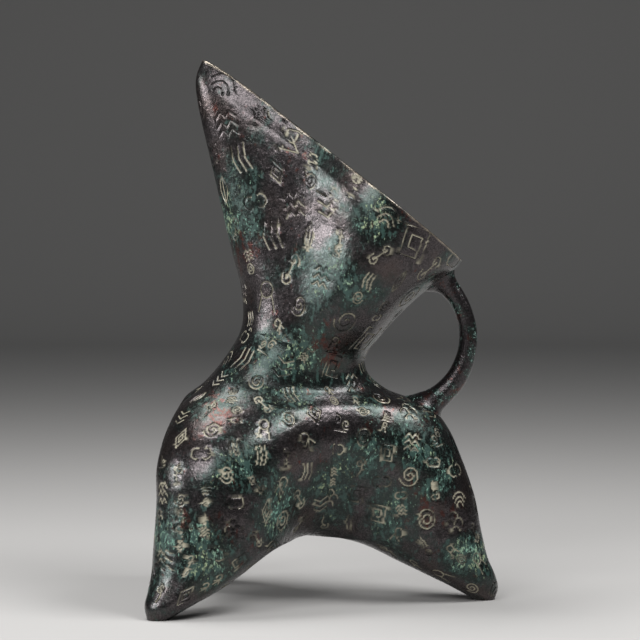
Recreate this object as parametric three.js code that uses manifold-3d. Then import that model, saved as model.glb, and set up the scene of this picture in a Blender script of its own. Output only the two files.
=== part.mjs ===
// A cast bronze tripod pouring vessel: three hollow pouch legs grow together into a belly,
// the belly draws in to a tilted waist, and the waist opens into a wide mouth whose front is
// pinched into a tall beak. A round loop handle joins the belly to the back of the mouth.
// Millimetres, +Z up. The beak points along -X and the handle lies along +X.
import * as THREE from "three";
import { mergeVertices } from "three/addons/utils/BufferGeometryUtils.js";
import Module from "manifold-3d";

const wasm = await Module();
wasm.setup();

// Metal thickness and fits
const wall = 2.8;
const fitGap = 0.3;
const seamGap = 0.3;

// Legs: how far each stands from the waist axis at the floor, and the flat it stands on.
// Every rise is measured from the station below, starting at the soles.
const soleRadius = 5.4;
const rearSoleReach = 100;
const frontSoleReach = 77.5;
const toeSwell = 1.5;
const toeRise = 6.3;
const ankleRise = 6.8;
const shankRise = 8.5;
const crotchRise = 12;

// The two front legs stand this far round from the rear leg, and the rear leg is a little narrower
const frontLegAngle = THREE.MathUtils.degToRad(136);
const rearLegSpread = 0.95;
const legBlend = 1.25;

// Belly and shoulder: reach of the rear and front outlines from the waist axis
const bellyRise = 21.4;
const bellyRearReach = 89;
const bellyFrontReach = 73.8;
const haunchRise = 19;
const haunchRearReach = 82.4;
const haunchFrontReach = 73.7;
const flankRise = 17;
const flankRearReach = 74.5;
const flankFrontReach = 69.3;
const shoulderRear = { reach: 65, rise: 10.5 };
const shoulderFront = { reach: 62.4, rise: 12.8 };
const saddleRear = { reach: 43, rise: 8.7 };
const saddleFront = { reach: 52, rise: 8.7 };
const napeRear = { reach: 33.6, rise: 8.3 };
const napeFront = { reach: 40, rise: 14.5 };

// The girth is squeezed from the sides around the shoulder, so that the shoulder slopes there
const shoulderSqueeze = 0.22;
const squeezeSpread = 1.6;

// Waist, the narrowest girth, which tips down towards the handle
const waistRear = { reach: 32.4, rise: 7.5 };
const waistFront = { reach: 32, rise: 15 };

// Mouth: outlines from the waist up to the lip, with the beak at the front. Each station lies
// further out than the one below by out, where a minus sign leads inwards.
const throatRear = { out: 8.4, rise: 12.4 };
const throatFront = { out: -0.2, rise: 18 };
const gulletRear = { out: 15.8, rise: 16.6 };
const gulletFront = { out: 5.2, rise: 22 };
const flareRear = { out: 15.4, rise: 12.5 };
const flareFront = { out: 8.8, rise: 38 };
const collarRear = { out: 7.5, rise: 5.3 };
const collarFront = { out: 9.6, rise: 49 };
const lipRear = { out: 3, rise: 3.7 };
const lipFront = { out: -3.5, rise: 11.3 };

// Plan of the mouth in the plane of the lip: a round bowl that is pinched into the beak
const bowlHalfWidth = 61;
const beakHalfWidth = 16;
const pinchPlace = 0.46;
const pinchLength = 0.09;
const lipBow = 2.5;
const lipBowSkew = 0.3;

// Handle: a round bar bent to an arc in the plane of symmetry, held by a tenon at each root
const handleArcRadius = 38.4;
const handleCentreOut = 14.8;
const handleCentreRise = 10.5;
const handleBarRadius = 4.6;
const handleFootThickening = 1.3;
const handleRootRadius = 6.9;
const handleOverrun = THREE.MathUtils.degToRad(20);
const tenonRadius = 3;
const tenonHead = 1.2;
const roveRadius = 7;
const roveThickness = 1.6;

// Sleeve inside the waist joint, and the plugs that close the core holes in the feet
const sleeveThickness = 1.6;
const sleeveHalfHeight = 7;
const plugInset = 1.8;
const plugHeight = 4.4;

// Fineness of the faceted surfaces
const facetsPerLeg = 16;
const rowsPerStation = 2;
const crotchRows = [3.88, 4.1];
const facetsAroundBar = 14;
const stepsAlongBar = 26;

// How the legs are joined: at the soles each is a small round, at the crotch the three just meet
const soleShare = (3 * soleRadius) / rearSoleReach;

// Outline stations from the soles to the lip, each raised on the one below
const stations = [
  { rear: { reach: rearSoleReach, height: 0 }, front: { reach: frontSoleReach, height: 0 } },
];
function raise(rear, front) {
  const below = stations.at(-1);
  const next = (side, step) => ({
    reach: step.reach ?? below[side].reach + step.out,
    height: below[side].height + step.rise,
  });
  stations.push({ rear: next("rear", rear), front: next("front", front) });
}
const raiseLevel = (rise, rear, front) => raise({ reach: rear, rise }, { reach: front, rise });
raiseLevel(toeRise, rearSoleReach + toeSwell, frontSoleReach + toeSwell);
raiseLevel(ankleRise, rearSoleReach, frontSoleReach);
raiseLevel(shankRise, rearSoleReach - 2.5 * toeSwell, frontSoleReach - toeSwell);
raiseLevel(crotchRise, rearSoleReach - 4.5 * toeSwell, frontSoleReach - 1.5 * toeSwell);
raiseLevel(bellyRise, bellyRearReach, bellyFrontReach);
raiseLevel(haunchRise, haunchRearReach, haunchFrontReach);
raiseLevel(flankRise, flankRearReach, flankFrontReach);
raise(shoulderRear, shoulderFront);
raise(saddleRear, saddleFront);
raise(napeRear, napeFront);
raise(waistRear, waistFront);
raise(throatRear, throatFront);
raise(gulletRear, gulletFront);
raise(flareRear, flareFront);
raise(collarRear, collarFront);
raise(lipRear, lipFront);
const crotchStation = 4;
const shoulderStation = 8.5;
const waistStation = 11;
const lipStation = stations.length - 1;
const rearOutline = new THREE.CatmullRomCurve3(
  stations.map((s) => new THREE.Vector3(s.rear.reach, 0, s.rear.height)),
);
const frontOutline = new THREE.CatmullRomCurve3(
  stations.map((s) => new THREE.Vector3(-s.front.reach, 0, s.front.height)),
);

// Leg joining at a station number: above 1 the legs are apart, at 1 they meet, at 0 the girth is round
function legJoin(station) {
  if (station >= waistStation) return 0;
  const climb = (station - crotchStation) / (waistStation - crotchStation);
  if (climb >= 0) return 1 - climb ** legBlend;
  return 1 / THREE.MathUtils.lerp(soleShare, 1, station / crotchStation);
}

// Turns the three evenly spaced lobes so that the front legs stand at frontLegAngle
const evenAngle = (2 * Math.PI) / 3;
const shift = (frontLegAngle - evenAngle) / Math.sin(evenAngle);
const secondTurn = (rearLegSpread - 1 - shift) / 3;
const firstTurn = shift + secondTurn;
const turned = (a) => a + firstTurn * Math.sin(a) + secondTurn * Math.sin(2 * a);

// One point of a three-lobed girth of unit rear reach: the cube root of join + e^(i phi)
function lobePoint(join, leg, phi) {
  const re = join + Math.cos(phi);
  const im = Math.sin(phi);
  const spread = Math.hypot(re, im);
  const size = spread < 1e-9 ? 0 : Math.cbrt(spread / (join + 1));
  const angle = turned(Math.atan2(im, re) / 3 + leg * evenAngle);
  return { x: size * Math.cos(angle), y: size * Math.sin(angle) };
}

// Position round a leg, from -1 to 1, as the angle phi. Where the legs only just meet the steps
// crowd towards the valleys, so that the facets of the girth stay even.
function phiAt(join, share) {
  const crowding = 1 + 2 * Math.min(join, 1 / join) ** 2;
  return Math.PI * Math.sign(share) * (1 - (1 - Math.abs(share)) ** crowding);
}

function frontReachOf(join) {
  let reach = 0;
  for (let i = -48; i <= 48; i++) {
    reach = Math.max(reach, -lobePoint(join, 1, (Math.PI * i) / 48).x);
  }
  return reach;
}

// Half width of the lip at a share of the way from its back to the tip of the beak
function lipHalfWidth(share) {
  const step = 1 + Math.exp((share - pinchPlace) / pinchLength);
  return beakHalfWidth + (bowlHalfWidth - beakHalfWidth) / step;
}

// The girth at a station number: its centre, its direction in the plane of symmetry, and its size
function girthAt(station) {
  const t = station / lipStation;
  const rear = rearOutline.getPoint(t);
  const front = frontOutline.getPoint(t);
  const along = rear.clone().sub(front);
  const length = along.length();
  along.normalize();
  const join = legJoin(station);
  const reach = length / (1 + frontReachOf(join));
  const centre = rear.clone().addScaledVector(along, -reach);
  const opening = THREE.MathUtils.clamp((station - waistStation) / (lipStation - waistStation), 0, 1);
  const normal = new THREE.Vector3(-along.z, 0, along.x);
  const squeeze = shoulderSqueeze * Math.exp(-(((station - shoulderStation) / squeezeSpread) ** 2));
  return { centre, along, normal, reach, join, opening, breadth: reach * (1 - squeeze) };
}

function skinPoint(girth, leg, phi) {
  const p = lobePoint(girth.join, leg, phi);
  const share = (1 - p.x) / 2;
  const blend = girth.opening * (2 - girth.opening);
  const width = THREE.MathUtils.lerp(girth.breadth, lipHalfWidth(share), blend);
  const bow = lipBow * girth.opening ** 2 * (1 - p.x ** 6) * (1 - lipBowSkew * p.x);
  return girth.centre
    .clone()
    .addScaledVector(girth.along, girth.reach * p.x)
    .addScaledVector(girth.normal, bow)
    .add(new THREE.Vector3(0, width * p.y, 0));
}

// The skin as rows of rings, each ring going round all three legs
const evenRows = Array.from({ length: lipStation * rowsPerStation + 1 }, (_, r) => r / rowsPerStation);
const rowStations = [...evenRows, ...crotchRows].sort((a, b) => a - b);
const rows = rowStations.map((station) => {
  const girth = girthAt(station);
  const ring = [];
  for (let leg = 0; leg < 3; leg++) {
    for (let i = 0; i <= facetsPerLeg; i++) {
      ring.push(skinPoint(girth, leg, phiAt(girth.join, (2 * i) / facetsPerLeg - 1)));
    }
  }
  return ring;
});

function geometryOf(points, faces) {
  const geometry = new THREE.BufferGeometry();
  geometry.setAttribute("position", new THREE.Float32BufferAttribute(points.flatMap((p) => p.toArray()), 3));
  geometry.setIndex(faces);
  return mergeVertices(geometry, 1e-3);
}

const ringSize = 3 * (facetsPerLeg + 1);
const legStart = (leg) => leg * (facetsPerLeg + 1);

function wallFaces(rowCount) {
  const faces = [];
  for (let r = 0; r + 1 < rowCount; r++) {
    for (let leg = 0; leg < 3; leg++) {
      for (let i = 0; i < facetsPerLeg; i++) {
        const a = r * ringSize + legStart(leg) + i;
        const b = a + 1;
        const c = b + ringSize;
        const d = a + ringSize;
        faces.push(...(i < facetsPerLeg / 2 ? [a, b, d, b, c, d] : [a, b, c, a, c, d]));
      }
    }
  }
  return faces;
}

// Outward direction at every point of the open skin, in the order of the rows
function skinNormals() {
  const faces = wallFaces(rows.length);
  const merged = geometryOf(rows.flat(), faces);
  merged.computeVertexNormals();
  const directions = [];
  faces.forEach((corner, k) => {
    const from = merged.index.getX(k);
    directions[corner] = new THREE.Vector3().fromBufferAttribute(merged.attributes.normal, from);
  });
  return directions;
}
const normals = skinNormals();

// Middle of one leg's sole, from the lowest row of a skin
function soleCentre(ring, leg) {
  const sole = ring.slice(legStart(leg), legStart(leg) + facetsPerLeg);
  return sole.reduce((sum, p) => sum.add(p), new THREE.Vector3()).divideScalar(facetsPerLeg);
}

// A closed solid bounded by the skin moved outwards by offset. A negative offset gives the hollow:
// its floor is lifted by the same amount, and its top runs past the lip by overrun.
function skinSolid(offset, overrun = 0) {
  const floor = Math.max(0, -offset);
  const lip = girthAt(lipStation);
  const moved = rows.map((ring, r) =>
    ring.map((p, i) => {
      const q = p.clone().addScaledVector(normals[r * ringSize + i], offset);
      q.z = Math.max(q.z, floor);
      return q;
    }),
  );
  if (overrun > 0) moved.push(moved.at(-1).map((p) => p.clone().addScaledVector(lip.normal, overrun)));
  const points = moved.flat();
  const faces = wallFaces(moved.length);
  for (let leg = 0; leg < 3; leg++) {
    const centre = points.push(soleCentre(moved[0], leg)) - 1;
    for (let i = 0; i < facetsPerLeg; i++) {
      faces.push(centre, legStart(leg) + i + 1, legStart(leg) + i);
    }
  }
  const bowlCentre = lip.centre.clone().addScaledVector(lip.along, lip.reach / 3);
  const capCentre = points.push(bowlCentre.addScaledVector(lip.normal, overrun)) - 1;
  const top = (moved.length - 1) * ringSize;
  for (let leg = 0; leg < 3; leg++) {
    for (let i = 0; i < facetsPerLeg; i++) {
      faces.push(top + legStart(leg) + i, top + legStart(leg) + i + 1, capCentre);
    }
  }
  return solid(geometryOf(points, faces));
}

// A closed solid that can be joined to others, cut and split
function solid(geometry) {
  const bare = geometry.clone();
  bare.deleteAttribute("normal");
  bare.deleteAttribute("uv");
  const merged = mergeVertices(bare, 1e-3);
  return new wasm.Manifold(
    new wasm.Mesh({
      numProp: 3,
      vertProperties: new Float32Array(merged.attributes.position.array),
      triVerts: new Uint32Array(merged.index.array),
    }),
  );
}

function largestBody(body) {
  return body.decompose().reduce((best, b) => (b.volume() > best.volume() ? b : best));
}

function bronzeMesh(name, body, material) {
  const made = largestBody(body).getMesh();
  const geometry = new THREE.BufferGeometry();
  geometry.setAttribute("position", new THREE.BufferAttribute(made.vertProperties.slice(), 3));
  geometry.setIndex(new THREE.BufferAttribute(made.triVerts.slice(), 1));
  geometry.computeVertexNormals();
  const mesh = new THREE.Mesh(geometry, material);
  mesh.name = name;
  return mesh;
}

const patinatedBronze = new THREE.MeshStandardMaterial({ color: 0x2f3a35, roughness: 0.45, metalness: 0.6 });
const handleBronze = new THREE.MeshStandardMaterial({ color: 0x33332f, roughness: 0.42, metalness: 0.6 });
const hiddenBronze = new THREE.MeshStandardMaterial({ color: 0x4a4234, roughness: 0.6, metalness: 0.6 });
const plugBronze = new THREE.MeshStandardMaterial({ color: 0x4d4636, roughness: 0.55, metalness: 0.6 });

const outer = skinSolid(0);
const hollow = skinSolid(-wall, 4 * wall);
const shell = outer.subtract(hollow);

// Half space above or below a girth's plane, as a large box turned to lie on it
const reachEverywhere = 2 * stations.at(-1).front.height;
function halfSpace(girth, side, offset) {
  const box = new THREE.BoxGeometry(reachEverywhere, reachEverywhere, reachEverywhere);
  box.translate(0, 0, side * (reachEverywhere / 2) + offset);
  const upright = new THREE.Vector3(0, 0, 1);
  box.applyQuaternion(new THREE.Quaternion().setFromUnitVectors(upright, girth.normal));
  box.translate(girth.centre.x, girth.centre.y, girth.centre.z);
  return solid(box);
}
const waist = girthAt(waistStation);
const aboveWaist = halfSpace(waist, 1, seamGap / 2);
const belowWaist = halfSpace(waist, -1, -seamGap / 2);

// A vertical wedge that holds one leg, between the valleys at each side of it
const crotch = girthAt(crotchStation);
function legWedge(from, to) {
  const half = (to - from) / 2;
  const middle = from + half;
  const inset = seamGap / 2 / Math.sin(half);
  const apex = new THREE.Vector2(inset * Math.cos(middle), inset * Math.sin(middle));
  const corners = [0, 1, 2, 3].map((i) => {
    const angle = from + ((to - from) * i) / 3;
    return new THREE.Vector2(Math.cos(angle), Math.sin(angle)).multiplyScalar(reachEverywhere).add(apex);
  });
  const wedge = new THREE.ExtrudeGeometry(new THREE.Shape([apex, ...corners]), {
    depth: reachEverywhere,
    bevelEnabled: false,
  });
  wedge.translate(crotch.centre.x, 0, -reachEverywhere / 4);
  return solid(wedge);
}
const rearValley = turned(evenAngle / 2);

// An upright or aimed round bar from one point to another
function bar(from, to, radius, facets = 24) {
  const along = to.clone().sub(from);
  const upright = new THREE.Vector3(0, 1, 0);
  const cylinder = new THREE.CylinderGeometry(radius, radius, along.length(), facets);
  cylinder.translate(0, along.length() / 2, 0);
  cylinder.applyQuaternion(new THREE.Quaternion().setFromUnitVectors(upright, along.normalize()));
  cylinder.translate(from.x, from.y, from.z);
  return solid(cylinder);
}

const above = (p, rise) => p.clone().add(new THREE.Vector3(0, 0, rise));

const plugRadius = soleRadius - plugInset;
const soles = [0, 1, 2].map((leg) => soleCentre(rows[0], leg));
const footPlug = (leg) => bar(soles[leg], above(soles[leg], plugHeight), plugRadius);
const footHole = (leg) =>
  bar(above(soles[leg], -wall), above(soles[leg], plugHeight + fitGap), plugRadius + fitGap);

// The handle's arc, and the two angles at which it meets the back of the vessel
const waistBack = stations[waistStation].rear;
const handleCentre = new THREE.Vector3(
  waistBack.reach + handleCentreOut,
  0,
  waistBack.height + handleCentreRise,
);
const waistRow = rowStations.indexOf(waistStation);
function angleAtBack(rowStep) {
  const back = (row) => rows[row][facetsPerLeg / 2].clone().sub(handleCentre);
  let row = waistRow;
  while (back(row + rowStep).length() < handleArcRadius) row += rowStep;
  const [near, far] = [back(row), back(row + rowStep)];
  const share = (handleArcRadius - near.length()) / (far.length() - near.length());
  const crossing = near.lerp(far, share);
  return Math.atan2(crossing.z, crossing.x);
}
const handleTopAngle = angleAtBack(1);
const handleFootAngle = angleAtBack(-1);
const arcPoint = (a) =>
  handleCentre.clone().add(new THREE.Vector3(Math.cos(a), 0, Math.sin(a)).multiplyScalar(handleArcRadius));
const arcTangent = (a) => new THREE.Vector3(-Math.sin(a), 0, Math.cos(a));

// A bar bent along the arc that swells towards its roots, both ends closed
function handleBar() {
  const from = handleFootAngle - handleOverrun;
  const to = handleTopAngle + handleOverrun;
  const points = [];
  const faces = [];
  for (let s = 0; s <= stepsAlongBar; s++) {
    const a = THREE.MathUtils.lerp(from, to, s / stepsAlongBar);
    const middle = (handleFootAngle + handleTopAngle) / 2;
    const spread = (handleTopAngle - handleFootAngle) / 2;
    const swell = Math.min(1, Math.abs(a - middle) / spread) ** 7;
    const drop = THREE.MathUtils.smoothstep(-a, handleTopAngle / -4, -handleFootAngle);
    const plain = handleBarRadius + handleFootThickening * drop;
    const radius = THREE.MathUtils.lerp(plain, handleRootRadius, swell);
    const centre = arcPoint(a);
    const outward = new THREE.Vector3(Math.cos(a), 0, Math.sin(a));
    for (let i = 0; i < facetsAroundBar; i++) {
      const turn = (2 * Math.PI * i) / facetsAroundBar;
      const p = centre.clone().addScaledVector(outward, radius * Math.cos(turn));
      points.push(p.add(new THREE.Vector3(0, radius * Math.sin(turn), 0)));
    }
  }
  for (let s = 0; s < stepsAlongBar; s++) {
    for (let i = 0; i < facetsAroundBar; i++) {
      const a = s * facetsAroundBar + i;
      const b = s * facetsAroundBar + ((i + 1) % facetsAroundBar);
      faces.push(a, b, b + facetsAroundBar, a, b + facetsAroundBar, a + facetsAroundBar);
    }
  }
  const first = points.push(arcPoint(from)) - 1;
  const last = points.push(arcPoint(to)) - 1;
  const end = stepsAlongBar * facetsAroundBar;
  for (let i = 0; i < facetsAroundBar; i++) {
    const j = (i + 1) % facetsAroundBar;
    faces.push(first, j, i, last, end + i, end + j);
  }
  return solid(geometryOf(points, faces));
}

// A root: the point where the arc meets the skin, and the way into the vessel from there
function handleRoot(angle, inwardSign) {
  const inward = arcTangent(angle).multiplyScalar(inwardSign);
  return { point: arcPoint(angle), inward };
}
const topRoot = handleRoot(handleTopAngle, 1);
const footRoot = handleRoot(handleFootAngle, -1);
const roots = [topRoot, footRoot];

const alongRoot = (root, distance) => root.point.clone().addScaledVector(root.inward, distance);
const tenonReach = wall + 2 * fitGap + roveThickness + tenonHead;
const tenonStart = 2 * handleBarRadius;
const rootDepth = 3 * handleBarRadius;
const tenon = (root, extra, reach) =>
  bar(alongRoot(root, -tenonStart), alongRoot(root, reach), tenonRadius + extra);

const pierced = roots.reduce((body, root) => body.subtract(tenon(root, fitGap, rootDepth)), shell);

function pouchLeg(leg, from, to) {
  return pierced.intersect(belowWaist).intersect(legWedge(from, to)).subtract(footHole(leg));
}

function loopHandle() {
  const grip = handleBar().subtract(skinSolid(fitGap));
  return roots.reduce((body, root) => body.add(tenon(root, 0, tenonReach)), grip);
}

function roveWasher(root) {
  const inside = skinSolid(-(wall + fitGap), rootDepth);
  const beyond = skinSolid(-(wall + fitGap + roveThickness), rootDepth);
  const disc = bar(root.point, alongRoot(root, rootDepth), roveRadius);
  return disc.intersect(inside).subtract(beyond).subtract(tenon(root, fitGap, rootDepth));
}

function waistSleeve() {
  const inside = skinSolid(-(wall + fitGap), rootDepth);
  const bore = skinSolid(-(wall + fitGap + sleeveThickness), rootDepth);
  const slab = halfSpace(waist, 1, -sleeveHalfHeight).intersect(halfSpace(waist, -1, sleeveHalfHeight));
  return inside.subtract(bore).intersect(slab);
}

const vessel = new THREE.Group();
vessel.add(
  bronzeMesh("mouth_funnel", pierced.intersect(aboveWaist), patinatedBronze),
  bronzeMesh("waist_sleeve", waistSleeve(), hiddenBronze),
  bronzeMesh("pouch_leg_rear", pouchLeg(0, -rearValley, rearValley), patinatedBronze),
  bronzeMesh("pouch_leg_front_right", pouchLeg(1, rearValley, Math.PI), patinatedBronze),
  bronzeMesh("pouch_leg_front_left", pouchLeg(2, Math.PI, 2 * Math.PI - rearValley), patinatedBronze),
  bronzeMesh("loop_handle", loopHandle(), handleBronze),
  bronzeMesh("handle_rove_upper", roveWasher(topRoot), hiddenBronze),
  bronzeMesh("handle_rove_lower", roveWasher(footRoot), hiddenBronze),
  bronzeMesh("foot_plug_rear", footPlug(0), plugBronze),
  bronzeMesh("foot_plug_front_right", footPlug(1), plugBronze),
  bronzeMesh("foot_plug_front_left", footPlug(2), plugBronze),
);

// The origin is the middle of the vessel's footprint, on the floor
const extent = new THREE.Box3().setFromObject(vessel);
vessel.position.set(-(extent.min.x + extent.max.x) / 2, 0, 0);

export default vessel;
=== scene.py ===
import math
import random
import bpy
import bmesh
import numpy as np
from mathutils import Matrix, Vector, noise
from mathutils.bvhtree import BVHTree
from mathutils.kdtree import KDTree


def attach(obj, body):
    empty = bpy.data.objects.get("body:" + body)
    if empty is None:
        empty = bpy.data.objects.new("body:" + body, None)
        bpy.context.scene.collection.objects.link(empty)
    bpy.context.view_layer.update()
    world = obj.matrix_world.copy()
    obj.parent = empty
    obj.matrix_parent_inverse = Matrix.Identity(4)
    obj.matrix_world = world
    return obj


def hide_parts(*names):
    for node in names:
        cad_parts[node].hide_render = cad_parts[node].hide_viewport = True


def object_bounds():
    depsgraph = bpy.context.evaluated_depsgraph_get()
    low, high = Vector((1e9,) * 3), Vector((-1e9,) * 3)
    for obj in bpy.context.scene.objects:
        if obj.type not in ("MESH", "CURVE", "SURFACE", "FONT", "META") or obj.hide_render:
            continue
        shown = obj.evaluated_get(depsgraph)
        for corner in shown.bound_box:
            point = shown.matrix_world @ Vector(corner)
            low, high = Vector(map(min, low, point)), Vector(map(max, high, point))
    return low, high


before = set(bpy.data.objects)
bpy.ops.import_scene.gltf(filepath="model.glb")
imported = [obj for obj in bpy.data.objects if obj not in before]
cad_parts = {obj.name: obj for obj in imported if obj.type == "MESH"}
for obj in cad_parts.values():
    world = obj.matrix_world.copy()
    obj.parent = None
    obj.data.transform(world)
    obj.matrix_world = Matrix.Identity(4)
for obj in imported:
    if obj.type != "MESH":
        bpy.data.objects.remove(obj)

cad_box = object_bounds()


# The camera stands 1.5 m from the vessel, a little below the level of its beak, and looks at it
# square on, with the beak to the left and the handle to the right.
camera_place = (-0.0025, -1.5, 0.228)
camera_dip = 3.14
camera_data = bpy.data.cameras.new("photo_camera")
camera_data.lens = 163.0
camera_data.sensor_width = 36.0
camera = bpy.data.objects.new("photo_camera", camera_data)
bpy.context.collection.objects.link(camera)
camera.location = camera_place
camera.rotation_euler = (math.radians(90 - camera_dip), 0, 0)
bpy.context.scene.camera = camera
bpy.context.scene.view_settings.view_transform = "Standard"


# The floor is a wide table top of plain matt paper. It lies flat until well behind the vessel,
# then curves up into an upright wall, so that no edge of it shows from the camera.
floor_half_width, floor_reach = 5, 4.0
flat_end, bend_radius = 2.1, 0.9
floor_material = bpy.data.materials.new("plain_paper")
floor_material.use_nodes = True
floor_shader = floor_material.node_tree.nodes["Principled BSDF"]
floor_shader.inputs["Base Color"].default_value = (0.5, 0.49, 0.48, 1)
floor_shader.inputs["Roughness"].default_value = 0.9
floor_mesh = bmesh.new()
bmesh.ops.create_grid(floor_mesh, x_segments=2, y_segments=160, size=1)
for v in floor_mesh.verts:
    run = floor_reach * v.co.y
    turn = min(max(run - flat_end, 0) / bend_radius, math.pi / 2)
    upright = max(run - flat_end - bend_radius * math.pi / 2, 0)
    v.co.x *= floor_half_width
    v.co.y = min(run, flat_end) + bend_radius * math.sin(turn)
    v.co.z = bend_radius - bend_radius * math.cos(turn) + upright
floor_data = bpy.data.meshes.new("floor")
floor_mesh.to_mesh(floor_data)
for polygon in floor_data.polygons:
    polygon.use_smooth = True
floor = bpy.data.objects.new("floor", floor_data)
bpy.context.collection.objects.link(floor)
floor_data.materials.append(floor_material)


# Two soft boxes hang over the vessel. A third stands in front, above the camera's line of sight,
# and a fourth to the left, a little over the mouth, where it lights the pinched flank of the beak.
# The room itself is dim.
def soft_box(name, place, aim, width, depth, watts):
    """A flat lamp of width by depth metres that shines from its place toward its aim."""
    data = bpy.data.lights.new(name, "AREA")
    data.shape = "RECTANGLE"
    data.size = width
    data.size_y = depth
    data.energy = watts
    lamp = bpy.data.objects.new(name, data)
    bpy.context.collection.objects.link(lamp)
    lamp.location = place
    lamp.rotation_euler = (Vector(aim) - Vector(place)).to_track_quat("-Z", "Y").to_euler()


soft_box("right_overhead_soft_box", place=(0.59, -0.31, 0.88), aim=(0, 0, 0.12),
         width=0.6, depth=0.34, watts=8.5)
soft_box("back_overhead_soft_box", place=(-0.25, 0.12, 1.0), aim=(0, 0, 0.12),
         width=0.5, depth=0.36, watts=5)
soft_box("front_soft_box", place=(-0.37, -0.78, 0.7), aim=(0, 0, 0.18),
         width=0.5, depth=0.36, watts=4.6)
soft_box("left_soft_box", place=(-0.97, -0.26, 0.4), aim=(0, 0, 0.2),
         width=0.36, depth=0.28, watts=4.6)
world = bpy.data.worlds.new("dim_room")
bpy.context.scene.world = world
world.use_nodes = True
room_light = world.node_tree.nodes["Background"]
room_light.inputs["Color"].default_value = (0.75, 0.78, 0.8, 1)
room_light.inputs["Strength"].default_value = 0.08


# The three pouch legs: hollow cast bronze, 2.8 mm thick. Their plan is a trefoil that splits into
# three rounds below the crotch. Each leg is one casting, joined to its neighbours along a valley,
# and its outside is covered with small ornaments cut into the metal in upright columns.
wall = 0.0028

# Outlines of the handle's side and of the beak's side, station by station from the soles to the lip:
# reach from the waist axis and height for the one, then for the other, in millimetres
stations = np.array([
    (100, 0, -77.5, 0), (101.5, 6.3, -79, 6.3), (100, 13.1, -77.5, 13.1), (96.25, 21.6, -76, 21.6),
    (93.25, 33.6, -75.25, 33.6), (89, 55, -73.8, 55), (82.4, 74, -73.7, 74), (74.5, 91, -69.3, 91),
    (65, 101.5, -62.4, 103.8), (43, 110.2, -52, 112.5), (33.6, 118.5, -40, 127), (32.4, 126, -32, 142),
    (40.8, 138.4, -31.8, 160), (56.6, 155, -37, 182), (72, 167.5, -45.8, 220), (79.5, 172.8, -55.4, 269),
    (82.5, 176.5, -51.9, 280.3)]) / 1000
crotch_station, waist_station, lip_station = 4, 11, 16
waist_axis = cad_box[1][0] - stations[:, 0].max()

# At the soles each leg is a small round, and from the crotch up they blend toward one round waist
sole_radius, rear_sole_reach = 5.4, 100
sole_share = 3 * sole_radius / rear_sole_reach
leg_blend = 1.25

# The front legs stand this far round from the rear leg, which is a little narrower than they are
rear_leg_spread, front_leg_angle = 0.95, math.radians(136)
even_angle = 2 * math.pi / 3
shift = (front_leg_angle - even_angle) / math.sin(even_angle)
second_turn = (rear_leg_spread - 1 - shift) / 3
first_turn = shift + second_turn

# The shoulder is squeezed from the sides, and a fillet fills the corner between it and the neck
squeeze, squeeze_station, squeeze_spread = 0.22, 8.5, 1.6
neck_fillet, fillet_station, fillet_spread = 0.0016, 8.8, 0.35

# Plan of the mouth: a round bowl that is pinched into the beak, with a slightly bowed lip
beak_half_width, bowl_widening = 0.016, 0.045
pinch_place, pinch_length = 0.46, 0.09
lip_bow, lip_bow_skew = 0.0025, 0.3


def outline(points, station):
    """A smooth outline through the points, read at fractional station numbers."""
    ends = np.vstack([2 * points[0] - points[1], points, 2 * points[-1] - points[-2]])
    i = np.clip(np.floor(station).astype(int), 0, len(points) - 2)
    w = (station - i)[:, None]
    p = [ends[i + k] for k in range(4)]
    d = [np.sqrt(np.linalg.norm(p[k + 1] - p[k], axis=1))[:, None] for k in range(3)]
    t1 = ((p[1] - p[0]) / d[0] - (p[2] - p[0]) / (d[0] + d[1]) + (p[2] - p[1]) / d[1]) * d[1]
    t2 = ((p[2] - p[1]) / d[1] - (p[3] - p[1]) / (d[1] + d[2]) + (p[3] - p[2]) / d[2]) * d[1]
    return (p[1] + t1 * w + (3 * (p[2] - p[1]) - 2 * t1 - t2) * w ** 2
            + (2 * (p[1] - p[2]) + t1 + t2) * w ** 3)


def lobe(join, leg, phi):
    """Unit trefoil: the cube root of join + e^(i phi), turned to its leg."""
    re, im = join + np.cos(phi), np.sin(phi)
    size = np.cbrt(np.hypot(re, im) / (join + 1))
    a = np.arctan2(im, re) / 3 + leg * even_angle
    a = a + first_turn * np.sin(a) + second_turn * np.sin(2 * a)
    return size * np.cos(a), size * np.sin(a)


# How far the trefoil reaches toward the beak at each join, where toward the handle it reaches 1
joins = np.linspace(0, 1 / sole_share, 400)
around = np.linspace(-math.pi, math.pi, 97)
front_reaches = np.array([-lobe(k, 1, around)[0].min() for k in joins])


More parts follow.
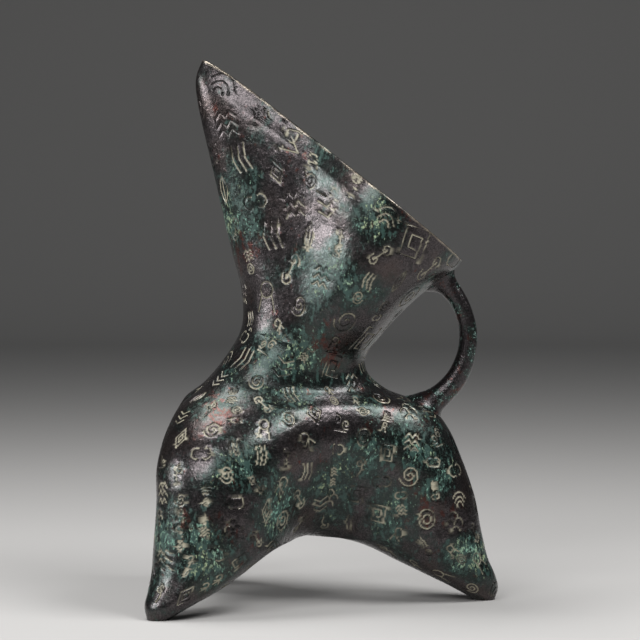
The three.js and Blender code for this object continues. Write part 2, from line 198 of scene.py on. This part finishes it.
def skin(station, leg, share):
    """Points of the vessel's outer skin, in metres. On each leg the share goes from -1 to 1."""
    rear = outline(stations[:, 0:2], station)
    front = outline(stations[:, 2:4], station)
    along = rear - front
    length = np.linalg.norm(along, axis=1)
    along = along / length[:, None]
    climb = np.clip((station - crotch_station) / (waist_station - crotch_station), 0, 1)
    below_crotch = 1 / (sole_share + (1 - sole_share) * np.clip(station / crotch_station, 0, 1))
    join = np.where(station >= crotch_station, 1 - climb ** leg_blend, below_crotch)
    crowding = 1 + 2 * np.minimum(join, 1 / np.maximum(join, 1e-6)) ** 2
    phi = math.pi * np.sign(share) * (1 - (1 - np.abs(share)) ** crowding)
    x, y = lobe(join, leg, phi)
    reach = length / (1 + np.interp(join, joins, front_reaches))
    opening = np.clip((station - waist_station) / (lip_station - waist_station), 0, 1)
    mouth_width = beak_half_width + bowl_widening / (1 + np.exp(((1 - x) / 2 - pinch_place) / pinch_length))
    girth = reach * (1 - squeeze * np.exp(-((station - squeeze_station) / squeeze_spread) ** 2))
    girth = girth + neck_fillet * np.exp(-((station - fillet_station) / fillet_spread) ** 2)
    width = girth + (mouth_width - girth) * (opening * (2 - opening))
    bow = lip_bow * opening ** 2 * (1 - x ** 6) * (1 - lip_bow_skew * x)
    out = reach * (x - 1)
    return np.stack([rear[:, 0] + along[:, 0] * out - along[:, 1] * bow + waist_axis,
                     width * y,
                     rear[:, 1] + along[:, 1] * out + along[:, 0] * bow], axis=1)


def sector(leg, first, last, rows, columns):
    """The skin of one leg's third of the vessel between two stations, as an open sheet."""
    sheet = bmesh.new()
    bmesh.ops.create_grid(sheet, x_segments=columns, y_segments=rows, size=1)
    flat = np.array([v.co[:2] for v in sheet.verts])
    station = first + (last - first) * (flat[:, 1] + 1) / 2
    for v, p in zip(sheet.verts, skin(station, leg, flat[:, 0])):
        v.co = p
    return sheet


# The mould left shallow dents: how many of them to the metre, and how deep
casting_dents = ((38, 0.00022), (85, 0.00012), (230, 0.00006))
dent_spread = 0.1
merge_distance = 2e-6


def make_wall(sheet):
    """Closes the sheet's own seams, dents it as castings are dented and thickens it inwards."""
    bmesh.ops.remove_doubles(sheet, verts=sheet.verts, dist=merge_distance)
    bmesh.ops.recalc_face_normals(sheet, faces=sheet.faces)
    middle = sum((v.co for v in sheet.verts), Vector()) / len(sheet.verts)
    if sum(f.normal.dot(f.calc_center_median() - middle) for f in sheet.faces) < 0:
        bmesh.ops.reverse_faces(sheet, faces=sheet.faces)
    sheet.normal_update()
    for v in sheet.verts:
        if not v.is_boundary:
            dent = 0
            for number, depth in casting_dents:
                dent += depth * max(0, noise.noise(v.co * number) + dent_spread)
            v.co -= v.normal * dent
    bmesh.ops.solidify(sheet, geom=sheet.faces, thickness=wall)


def arc(x, y, radius, start, end, steps=14):
    """A stroke round x, y from one angle to another, in degrees."""
    turn = [math.radians(start + (end - start) * k / steps) for k in range(steps + 1)]
    return [(x + radius * math.cos(a), y + radius * math.sin(a)) for a in turn]


def spiral(x, y, inner, outer, start, turns, steps=30):
    """A stroke that winds outwards round x, y from the start angle, in radians."""
    stroke = []
    for k in range(steps + 1):
        radius = inner + (outer - inner) * k / steps
        angle = start + turns * math.tau * k / steps
        stroke.append((x + radius * math.cos(angle), y + radius * math.sin(angle)))
    return stroke


# Traditional motifs, each a few strokes in a square one unit wide
motifs = [
    [spiral(0, 0, 0.05, 0.48, 0.4, 1.9)],
    [[(-0.45, -0.5), (-0.45, 0.48), (0.45, 0.48), (0.45, -0.4), (-0.22, -0.4), (-0.22, 0.24), (0.22, 0.24),
      (0.22, -0.14), (0, -0.14)]],
    [spiral(-0.14, 0.26, 0.04, 0.25, 2.6, 1.2)[::-1] + [(0, 0)]
     + spiral(0.14, -0.26, 0.04, 0.25, -0.5, 1.2)],
    [arc(-0.24, 0, 0.24, 70, 300), arc(0.24, 0, 0.24, 250, 480)],
    [[(0, 0.5), (0.34, 0), (0, -0.5), (-0.34, 0), (0, 0.5)],
     [(0, 0.22), (0.15, 0), (0, -0.22), (-0.15, 0), (0, 0.22)]],
    [arc(0, -0.35, 0.24, 15, 165), arc(0, -0.35, 0.46, 22, 158), arc(0, -0.35, 0.7, 32, 148)],
    [[(-0.45, y), (-0.2, y + 0.2), (0, y), (0.2, y + 0.2), (0.45, y)] for y in (-0.4, -0.1, 0.2)],
    [arc(-0.42, 0, 0.62, -48, 48), arc(0.42, 0, 0.62, 132, 228), [(0, 0.4), (0, -0.46)]],
    [arc(0, 0.02, 0.42, 0, 360, 26), arc(0, 0.02, 0.2, 0, 360, 16)],
    [spiral(-0.2, 0.05, 0.03, 0.24, 0.6, 1.3), spiral(0.26, -0.12, 0.03, 0.22, 3.4, 1.3),
     [(-0.42, -0.42), (0.3, -0.45)]],
    [[(-0.4 + k, -0.45), (-0.22 + k, 0), (-0.32 + k, 0.46)] for k in (0, 0.3, 0.6)],
    [arc(x, y, 0.24, 0, 180, 10) for x, y in ((-0.25, 0.1), (0.25, 0.1), (0, -0.22), (0, 0.4))],
    [[(-0.1, -0.5), (-0.1, 0.1)] + arc(0.12, 0.14, 0.22, 180, -60, 12),
     [(-0.4, -0.15), (-0.1, 0.1), (0.1, -0.3)]],
    [arc(0, 0.2, 0.26, -40, 220), arc(0, 0.2, 0.26, 220, 320, 6) + [(0.34, -0.5)],
     [(-0.2, 0.03), (-0.36, -0.48)]],
    [[(-0.38, 0.42), (0, 0.2), (0.38, 0.42)], [(-0.38, 0.12), (0, -0.1), (0.38, 0.12)],
     [(-0.38, -0.18), (0, -0.4), (0.38, -0.18)]],
    [spiral(0, 0.18, 0.03, 0.28, 0, 1.25) + [(0.2, -0.1), (0.05, -0.5)]],
]

# The motifs whose strokes stay apart when they are cut small
open_motifs = [motifs[k] for k in (0, 3, 6, 7, 8, 10, 12, 13)]
large_share = 0.75
hand_shake = 0.012


def ornament(dice):
    """One large motif, or two smaller ones, one above the other, drawn by an unsteady hand."""
    layout = [(0, 0, 1)]
    if dice.random() >= large_share:
        layout = [(0, 0.3, 0.56), (dice.uniform(-0.1, 0.1), -0.3, 0.52)]
    strokes = []
    for x0, y0, scale in layout:
        wide = scale * dice.choice((-1, 1)) * dice.uniform(0.8, 1.1)
        for stroke in dice.choice(motifs if scale == 1 else open_motifs):
            drawn = []
            for x, y in stroke:
                x = x0 + x * wide + dice.uniform(-hand_shake, hand_shake)
                drawn.append((x, y0 + y * scale + dice.uniform(-hand_shake, hand_shake)))
            strokes.append(drawn)
    return strokes


# Where ornaments are tried, the steps that tell up and sideways there, how the ornaments stand in
# their pitch, and how far a stroke may leave the skin
share_step, station_step = 0.02, 0.04
side_step, up_step = 0.005, 0.05
most_tilt, slimness = 0.2, 0.86
smallest, largest = 0.64, 0.92
stray_gap = 0.002


def place_ornaments(mesh, legs, first, last, widest, pitch, dice):
    """The strokes of ornaments laid over the outside of the mesh, at least a pitch apart."""
    outside = BVHTree.FromBMesh(mesh)
    spots = np.array([(share, station) for share in np.arange(-1, 1.001, share_step)
                      for station in np.arange(first, last, station_step) if abs(share) <= widest(station)])
    share, station = spots.T
    anchors, strokes = [], []
    for leg in legs:
        centres = skin(station, leg, share)
        risen = skin(station + up_step, leg, share)
        turned = skin(station, leg, share + side_step)
        for centre, up, side in zip(centres, risen, turned):
            if anchors and np.min(np.linalg.norm(np.array(anchors) - centre, axis=1)) < pitch:
                continue
            anchors.append(centre)
            centre = Vector(centre)
            up = (Vector(up) - centre).normalized()
            side = Vector(side) - centre
            side = (side - up * side.dot(up)).normalized()
            tilt = dice.uniform(-most_tilt, most_tilt)
            lean, cross = math.cos(tilt), math.sin(tilt)
            up, side = up * lean + side * cross, side * lean - up * cross
            size = pitch * dice.uniform(smallest, largest)
            for stroke in ornament(dice):
                points = [centre + side * (x * size * slimness) + up * (y * size) for x, y in stroke]
                found = [outside.find_nearest(p) for p in points]
                strokes.append([spot for spot, normal, face, gap in found if gap < stray_gap])
    return strokes


def nearest_tree(points):
    """A tree that tells how far away the nearest of the points is."""
    tree = KDTree(len(points))
    for k, p in enumerate(points):
        tree.insert(p, k)
    tree.balance()
    return tree


# The grooves are shallow bowls. The mesh gets finer twice within these distances of a stroke.
groove_width, groove_depth = 0.0004, 0.0004
groove_mark = 1.4
finer_within = (0.00105, 0.00062)
cut_step = 0.0002


def incise(mesh, legs, first, last, widest, pitch, seed):
    """Cuts columns of ornaments into the outside of the mesh, and marks them as "incised"."""
    cuts = []
    for stroke in place_ornaments(mesh, legs, first, last, widest, pitch, random.Random(seed)):
        for a, b in zip(stroke, stroke[1:]):
            steps = max(1, math.ceil((b - a).length / cut_step))
            cuts += [a.lerp(b, k / steps) for k in range(steps + 1)]
    tree = nearest_tree(cuts)
    for near in finer_within:
        bmesh.ops.triangulate(mesh, faces=[f for f in mesh.faces if len(f.verts) > 4])
        close = [f for f in mesh.faces if tree.find(f.calc_center_median())[2] < near]
        edges = list(dict.fromkeys(e for f in close for e in f.edges))
        bmesh.ops.subdivide_edges(mesh, edges=edges, cuts=1, use_grid_fill=True)
    mesh.normal_update()
    mark = mesh.verts.layers.float.new("incised")
    moves = []
    for v in mesh.verts:
        distance = tree.find(v.co)[2]
        if distance < groove_width:
            bowl = max(0, 1 - (distance / groove_width) ** 2)
            v[mark] = min(1, bowl * groove_mark)
            moves.append((v, v.normal * (-groove_depth * bowl)))
    for v, move in moves:
        v.co += move


def finish_piece(mesh, name, material):
    """Makes the mesh a piece of that name, smooth except at edges sharper than 60 degrees."""
    data = bpy.data.meshes.new(name)
    mesh.to_mesh(data)
    mesh.free()
    data.materials.append(material)
    for polygon in data.polygons:
        polygon.use_smooth = True
    data.set_sharp_from_angle(angle=math.radians(60))
    piece = bpy.data.objects.new(name, data)
    bpy.context.collection.objects.link(piece)
    return piece


class BronzeSurface:
    """The surface of one bronze. Its methods add the steps that lead to its colour and polish."""

    def __init__(self, name):
        self.material = bpy.data.materials.new(name)
        self.material.use_nodes = True
        self.tree = self.material.node_tree
        self.shader = self.tree.nodes["Principled BSDF"]
        self.place = self.tree.nodes.new("ShaderNodeTexCoord").outputs["Object"]
        # Grain that is read here is drawn out a little up and down
        streaks = self.tree.nodes.new("ShaderNodeMapping")
        streaks.inputs["Scale"].default_value = (1, 1, 0.6)
        self.tree.links.new(self.place, streaks.inputs["Vector"])
        self.streaks = streaks.outputs["Vector"]

    def put(self, socket, value):
        """Feeds the socket from another step, or sets it to a fixed value."""
        if isinstance(value, bpy.types.NodeSocket):
            self.tree.links.new(value, socket)
        else:
            socket.default_value = value

    def math(self, operation, a, b=0.0):
        """One sum, product or other operation on two values."""
        n = self.tree.nodes.new("ShaderNodeMath")
        n.operation = operation
        self.put(n.inputs[0], a)
        self.put(n.inputs[1], b)
        return n.outputs[0]

    def grain(self, size, detail=3.0, seed=0.0, roughness=0.55, place=None):
        """Random grain about size metres across, from 0 to 1, with so many layers of finer detail."""
        n = self.tree.nodes.new("ShaderNodeTexNoise")
        n.noise_dimensions = "4D"
        self.put(n.inputs["Vector"], place or self.place)
        n.inputs["W"].default_value = seed
        n.inputs["Scale"].default_value = 1 / size
        n.inputs["Detail"].default_value = detail
        n.inputs["Roughness"].default_value = roughness
        return n.outputs["Fac"]

    def fade(self, value, low, high, to_low=0.0, to_high=1.0):
        """Goes softly from to_low to to_high while the value goes from low to high."""
        n = self.tree.nodes.new("ShaderNodeMapRange")
        n.interpolation_type = "SMOOTHSTEP"
        self.put(n.inputs["Value"], value)
        for key, v in (("From Min", low), ("From Max", high), ("To Min", to_low), ("To Max", to_high)):
            n.inputs[key].default_value = v
        return n.outputs["Result"]

    def blend(self, share, a, b):
        """Colour a where the share is 0 and colour b where it is 1."""
        # Inputs 6 and 7 take the two colours, and output 2 gives the blend
        n = self.tree.nodes.new("ShaderNodeMix")
        n.data_type = "RGBA"
        self.put(n.inputs[0], share)
        self.put(n.inputs[6], a)
        self.put(n.inputs[7], b)
        return n.outputs[2]

    def near(self, spots, core=0.2):
        """1 in the core of any of the spots (x, z, radius), on both flanks, and 0 away from them."""
        parts = self.tree.nodes.new("ShaderNodeSeparateXYZ")
        self.put(parts.inputs[0], self.place)
        plan = self.tree.nodes.new("ShaderNodeCombineXYZ")
        self.put(plan.inputs[0], parts.outputs[0])
        self.put(plan.inputs[2], parts.outputs[2])
        total = 0.0
        for x, z, radius in spots:
            far = self.tree.nodes.new("ShaderNodeVectorMath")
            far.operation = "DISTANCE"
            self.put(far.inputs[0], plan.outputs[0])
            far.inputs[1].default_value = (x, 0, z)
            total = self.math("MAXIMUM", self.fade(far.outputs["Value"], radius, radius * core), total)
        return total

    def mark(self, name):
        """What the mesh was marked with under that name, such as its grooves."""
        n = self.tree.nodes.new("ShaderNodeAttribute")
        n.attribute_name = name
        return n.outputs["Fac"]

    def relief(self, height, strength, depth):
        """Fine unevenness of the surface, depth metres high."""
        n = self.tree.nodes.new("ShaderNodeBump")
        n.inputs["Strength"].default_value = strength
        n.inputs["Distance"].default_value = depth
        self.put(n.inputs["Height"], height)
        self.put(self.shader.inputs["Normal"], n.outputs["Normal"])


# The patina: a dark waxed brown-black skin with teal-green bloom, pale verdigris grains and patches
# of red-brown cuprite. The grooves are painted near-black as painted shade, most of all near the tip of the
# beak, and most others hold dust.
dark_metal, bright_metal = (0.024, 0.021, 0.022, 1), (0.085, 0.072, 0.075, 1)
black_wax, brown_wax = (0.014, 0.0125, 0.013, 1), (0.07, 0.05, 0.044, 1)
green_stain, teal_bloom = (0.014, 0.036, 0.03, 1), (0.018, 0.06, 0.049, 1)
cuprite = (0.075, 0.021, 0.015, 1)
green_grain, yellow_grain = (0.19, 0.38, 0.3, 1), (0.34, 0.43, 0.25, 1)
# painted shade for the grooves, then the dust that many of them hold
painted_groove_shade, dust = (0.012, 0.011, 0.01, 1), (0.41, 0.38, 0.28, 1)
# pale lip: worn metal, lightened further as a painted highlight along the edge
pale_lip_and_highlight = (0.5, 0.43, 0.34, 1)
cloud_gain, cloud_middle, crowding_gain = 0.17, 0.55, 0.6

patina = BronzeSurface("patinated_bronze")
green_ground = patina.near([
    (-0.043, 0.2, 0.022), (0, 0.172, 0.03), (0.024, 0.2, 0.02), (-0.018, 0.13, 0.03),
    (0.018, 0.073, 0.025), (-0.063, 0.035, 0.03), (0.058, 0.07, 0.028), (0.075, 0.024, 0.02),
    (-0.025, 0.055, 0.025), (-0.014, 0.108, 0.022), (0.004, 0.055, 0.022), (0.036, 0.05, 0.026),
    (-0.05, 0.066, 0.022), (0.046, 0.093, 0.018)])
red_ground = patina.near([
    (-0.05, 0.101, 0.022), (-0.004, 0.134, 0.018), (-0.015, 0.232, 0.018), (-0.04, 0.181, 0.018),
    (0.06, 0.05, 0.02), (-0.068, 0.047, 0.02), (0.02, 0.1, 0.018)])
green_cloud = patina.math("ADD", patina.grain(0.022, 5, 1.0, 0.6),
                          patina.math("MULTIPLY", green_ground, cloud_gain))
red_cloud = patina.math("ADD", patina.grain(0.018, 5, 4.0, 0.6),
                        patina.math("MULTIPLY", red_ground, cloud_gain))


def specks(cloud, size, low, seed):
    """Specks of corrosion that crowd together where the cloud is dense."""
    crowd = patina.math("MULTIPLY", patina.math("SUBTRACT", cloud, cloud_middle), crowding_gain)
    grains = patina.grain(size, 5, seed, 0.72, patina.streaks)
    return patina.fade(patina.math("ADD", grains, crowd), low, low + 0.09)


teal = specks(green_cloud, 0.0026, 0.555, 2.0)
pale = specks(green_cloud, 0.0013, 0.635, 3.0)
red = specks(red_cloud, 0.0036, 0.585, 5.0)

# The metal under the corrosion, from fine grain to broad clouds
colour = patina.blend(patina.fade(patina.grain(0.0009, 4, 7.0, 0.6), 0.3, 0.7), dark_metal, bright_metal)
waxed = patina.fade(patina.grain(0.008, 4, 17.0, 0.65), 0.5, 0.66, 0.0, 0.75)
colour = patina.blend(waxed, colour, black_wax)
brown = patina.fade(patina.grain(0.03, 4, 15.0), 0.48, 0.62, 0.0, 0.5)
colour = patina.blend(brown, colour, brown_wax)
colour = patina.blend(patina.fade(green_cloud, 0.46, 0.66, 0.0, 0.65), colour, green_stain)

# The corrosion on it, then the grooves with their painted shade and their dust, and the lip, worn pale and
# lightened by a painted highlight
colour = patina.blend(patina.math("MULTIPLY", red, 0.8), colour, cuprite)
colour = patina.blend(patina.math("MULTIPLY", teal, 0.85), colour, teal_bloom)
verdigris = patina.blend(patina.fade(patina.grain(0.012, 3, 16.0), 0.42, 0.62), green_grain, yellow_grain)
colour = patina.blend(pale, colour, verdigris)
groove = patina.mark("incised")
# Near the tip of the beak the grooves hold less dust, so more of their painted shade shows
groove_shade_spot = patina.near([(-0.062, 0.262, 0.05)])
dust_cloud = patina.math("SUBTRACT", patina.grain(0.016, 3, 6.0), patina.math("MULTIPLY", groove_shade_spot, 0.2))
dusty = patina.fade(dust_cloud, 0.38, 0.6, 0.0, 0.95)
groove_dust = patina.math("MULTIPLY", groove, dusty)
# Painted shade: every groove is darkened toward near-black, and dust then covers it where there is dust
colour = patina.blend(patina.math("MULTIPLY", groove, 0.85), colour, painted_groove_shade)
colour = patina.blend(groove_dust, colour, dust)
# Along the lip the colour turns pale: partly wear, partly a painted highlight on the edge
lip_wear_and_highlight = patina.math("MULTIPLY", patina.mark("lip"), patina.fade(patina.grain(0.006, 4, 6.0), 0.3, 0.5))
colour = patina.blend(lip_wear_and_highlight, colour, pale_lip_and_highlight)
patina.put(patina.shader.inputs["Base Color"], colour)

# Corrosion and dust are matt and hide the metal, and a thin coat of wax lies over everything
matt = patina.math("MAXIMUM", patina.math("MULTIPLY", teal, 0.7), patina.math("MAXIMUM", pale, groove_dust))
roughness = patina.math("ADD", patina.fade(patina.grain(0.0016, 4, 8.0, 0.65), 0.35, 0.65, 0.2, 0.32),
                        patina.math("MULTIPLY", matt, 0.3))
patina.put(patina.shader.inputs["Roughness"], roughness)
patina.put(patina.shader.inputs["Metallic"], patina.fade(matt, 0.0, 0.8, 0.88, 0.0))
patina.shader.inputs["Coat Weight"].default_value = 0.25
patina.shader.inputs["Coat Roughness"].default_value = 0.3
relief = patina.math("ADD", patina.math("MULTIPLY", patina.grain(0.0013, 3, 11.0), 0.35),
                     patina.math("ADD", patina.grain(0.006, 4, 12.0), patina.math("MULTIPLY", pale, 0.25)))
patina.relief(relief, 0.7, 0.0006)

leg_rows, leg_columns = 132, 76
leg_ornament_pitch = 0.0145
lowest_ornament, highest_leg_ornament = 0.9, 10.8
bare_below = 4.4
flank_share, foot_share, share_rise = 0.9, 0.45, 0.06


def leg_width(station):
    """How far round a leg the ornaments go: less below the crotch, where the inside is bare."""
    return flank_share if station > bare_below else foot_share + share_rise * station


for leg, name, seed in ((0, "pouch_leg_rear", 3), (1, "pouch_leg_front_right", 5),
                        (2, "pouch_leg_front_left", 7)):
    mesh = sector(leg, 0, waist_station, leg_rows, leg_columns)
    make_wall(mesh)
    incise(mesh, [leg], lowest_ornament, highest_leg_ornament, leg_width, leg_ornament_pitch, seed)
    piece = finish_piece(mesh, name + "_casting", patina.material)
    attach(piece, "root")
    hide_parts(name)


# The mouth: one bronze casting above the waist, round at the back and pinched into a beak at the
# front. Its lip is cut square and broken at the edges, and its colour is worn pale and lightened further by
# a painted highlight along the edge. Ornaments cover the outside.
mouth_rows, mouth_columns = 92, 64
rim_angle, rim_height, rim_bevel = 1.1, 0.15, 0.0007
mouth_ornament_pitch = 0.019
lowest_mouth_ornament, highest_mouth_ornament = 11.15, 15.5
# how far from the lip its pale colour of wear and painted highlight reaches
lip_points, lip_wear_and_highlight_reach = 80, 0.0014


def three_sectors(first, last, rows, columns):
    """All three thirds of the vessel between two stations, as one mesh with open seams."""
    whole = bmesh.new()
    for leg in range(3):
        part = sector(leg, first, last, rows, columns)
        data = bpy.data.meshes.new("sector")
        part.to_mesh(data)
        part.free()
        whole.from_mesh(data)
        bpy.data.meshes.remove(data)
    return whole


mesh = three_sectors(waist_station, lip_station, mouth_rows, mouth_columns)
make_wall(mesh)
rim = [e for e in mesh.edges if len(e.link_faces) == 2 and e.calc_face_angle() > rim_angle
       and all(v.co.z > rim_height for v in e.verts)]
bmesh.ops.bevel(mesh, geom=rim, affect="EDGES", offset=rim_bevel, segments=3, profile=0.5, material=-1)
incise(mesh, range(3), lowest_mouth_ornament, highest_mouth_ornament, lambda station: 1,
       mouth_ornament_pitch, seed=11)
lip_ring = skin(np.full(3 * lip_points, float(lip_station)), np.repeat([0, 1, 2], lip_points),
                np.tile(np.linspace(-1, 1, lip_points), 3))
lip_tree = nearest_tree(lip_ring)
lip = mesh.verts.layers.float.new("lip")
for v in mesh.verts:
    v[lip] = max(0, 1 - lip_tree.find(v.co)[2] / lip_wear_and_highlight_reach)
piece = finish_piece(mesh, "mouth_casting", patina.material)
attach(piece, "root")
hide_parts("mouth_funnel")


# The loop handle: a round bronze bar bent to an arc, held by tenons through the wall at both roots.
# It swells into the roots, and hands have rubbed it darker and smoother than the body.
handle_centre = Vector((0.0472 + waist_axis, 0, 0.1365))
handle_arc = 0.0384
handle_top, handle_foot = math.radians(52), math.radians(-64)
foot_overrun, both_overruns = 0.45, 0.8
thin_radius, foot_thickening, root_radius = 0.0046, 0.0013, 0.0069
root_sharpness = 7
bar_dents = ((90, 0.0003), (260, 0.00016))
root_fillet, fillet_reach = 0.003, 0.0024
sink = 0.0009

# The wall that the bar meets, and whether its normals point outwards
wall_start, wall_rows, wall_columns = 6, 80, 40
belly = three_sectors(wall_start, lip_station, wall_rows, wall_columns)
bmesh.ops.remove_doubles(belly, verts=belly.verts, dist=merge_distance)
bmesh.ops.recalc_face_normals(belly, faces=belly.faces)
belly_tree = BVHTree.FromBMesh(belly)
belly.free()
inside_point = Vector((waist_axis, 0, 0.16))
wall_spot, wall_normal = belly_tree.find_nearest(inside_point)[:2]
out_sign = 1 if (inside_point - wall_spot).dot(wall_normal) < 0 else -1


def bar_radius(angle):
    """The radius of the bar: thicker toward its foot, and swelling into both roots."""
    middle, spread = (handle_top + handle_foot) / 2, (handle_top - handle_foot) / 2
    swell = min(1, abs(angle - middle) / spread) ** root_sharpness
    t = min(1, max(0, (-angle + handle_top / 4) / (-handle_foot + handle_top / 4)))
    radius = thin_radius + foot_thickening * t * t * (3 - 2 * t)
    return radius + (root_radius - radius) * swell


bar_facets, bar_steps = 44, 190
mesh = bmesh.new()
bmesh.ops.create_grid(mesh, x_segments=bar_facets, y_segments=bar_steps, size=1)
for v in mesh.verts:
    turn = math.pi * v.co.x
    angle = handle_foot - foot_overrun + (handle_top - handle_foot + both_overruns) * (v.co.y + 1) / 2
    outward = Vector((math.cos(angle), 0, math.sin(angle)))
    ring = outward * math.cos(turn) + Vector((0, math.sin(turn), 0))
    place = handle_centre + outward * handle_arc + ring * bar_radius(angle)
    place -= ring * sum(depth * max(0, noise.noise(place * number)) for number, depth in bar_dents)
    spot, normal = belly_tree.find_nearest(place)[:2]
    above_wall = (place - spot).dot(normal) * out_sign
    foot = (ring - normal * ring.dot(normal)) * root_fillet * math.exp(-abs(above_wall) / fillet_reach)
    v.co = place + foot if above_wall > -sink else spot - normal * out_sign * sink
bmesh.ops.remove_doubles(mesh, verts=mesh.verts, dist=merge_distance)
bmesh.ops.holes_fill(mesh, edges=[e for e in mesh.edges if e.is_boundary])
bmesh.ops.recalc_face_normals(mesh, faces=mesh.faces)

# The handle's own patina: darker, with less green and finer grains
grip_dark, grip_bright = (0.014, 0.0125, 0.013, 1), (0.07, 0.06, 0.063, 1)
grip_cuprite, grip_bloom = (0.07, 0.022, 0.015, 1), (0.016, 0.05, 0.041, 1)
grip_grain = (0.2, 0.32, 0.28, 1)
grip = BronzeSurface("handle_bronze")
bloom = grip.fade(grip.grain(0.007, 5, 21.0, 0.65), 0.5, 0.6)
grip_red = grip.fade(grip.grain(0.006, 5, 24.0, 0.65), 0.54, 0.62, 0.0, 0.7)
grip_grains = grip.math("MULTIPLY", bloom, grip.fade(grip.grain(0.0011, 4, 22.0, 0.7), 0.53, 0.62))
colour = grip.blend(grip.fade(grip.grain(0.0009, 4, 27.0, 0.6), 0.3, 0.7), grip_dark, grip_bright)
colour = grip.blend(grip_red, colour, grip_cuprite)
colour = grip.blend(grip.math("MULTIPLY", bloom, 0.6), colour, grip_bloom)
colour = grip.blend(grip_grains, colour, grip_grain)
grip.put(grip.shader.inputs["Base Color"], colour)
grip.put(grip.shader.inputs["Roughness"], grip.fade(grip_grains, 0, 1, 0.27, 0.65))
grip.put(grip.shader.inputs["Metallic"], grip.fade(grip_grains, 0, 1, 0.85, 0.0))
grip.shader.inputs["Coat Weight"].default_value = 0.25
grip.shader.inputs["Coat Roughness"].default_value = 0.3
grip.relief(grip.math("ADD", grip.grain(0.0011, 3, 31.0), grip.grain(0.004, 4, 32.0)), 0.6, 0.0005)
piece = finish_piece(mesh, "loop_handle_bar", grip.material)
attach(piece, "root")
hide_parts("loop_handle")


# Inside the joints: the sleeve that backs the waist seam and the washers on the handle's tenons.
# They are unpolished cast bronze, dull yellow-brown, with the grain of the mould left on.
cast_yellow, cast_green = (0.09, 0.062, 0.032, 1), (0.045, 0.042, 0.03, 1)
dull = BronzeSurface("unpolished_bronze")
colour = dull.blend(dull.fade(dull.grain(0.006, 4, 41.0), 0.4, 0.62), cast_yellow, cast_green)
dull.put(dull.shader.inputs["Base Color"], colour)
polish = dull.fade(dull.grain(0.002, 3, 42.0), 0.3, 0.7, 0.5, 0.75)
dull.put(dull.shader.inputs["Roughness"], polish)
dull.shader.inputs["Metallic"].default_value = 0.6
dull.relief(dull.grain(0.001, 4, 43.0), 0.6, 0.0004)


def dress(solids, material):
    """Gives solids of the frame, which stay as they are, their material."""
    for name in solids:
        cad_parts[name].data.materials.clear()
        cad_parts[name].data.materials.append(material)


dress(("waist_sleeve", "handle_rove_upper", "handle_rove_lower"), dull.material)


# The plugs that close the core holes in the feet: short bronze studs, flush with the sole and
# worn to bare metal where the vessel has slid on tables.
bare_metal, sole_dirt = (0.16, 0.11, 0.055, 1), (0.03, 0.035, 0.03, 1)
rubbed = BronzeSurface("rubbed_bronze")
colour = rubbed.blend(rubbed.fade(rubbed.grain(0.0015, 4, 51.0), 0.42, 0.6), bare_metal, sole_dirt)
rubbed.put(rubbed.shader.inputs["Base Color"], colour)
polish = rubbed.fade(rubbed.grain(0.001, 3, 52.0), 0.3, 0.7, 0.35, 0.6)
rubbed.put(rubbed.shader.inputs["Roughness"], polish)
rubbed.shader.inputs["Metallic"].default_value = 0.8
rubbed.relief(rubbed.grain(0.0008, 3, 53.0), 0.5, 0.0003)
dress(("foot_plug_rear", "foot_plug_front_right", "foot_plug_front_left"), rubbed.material)
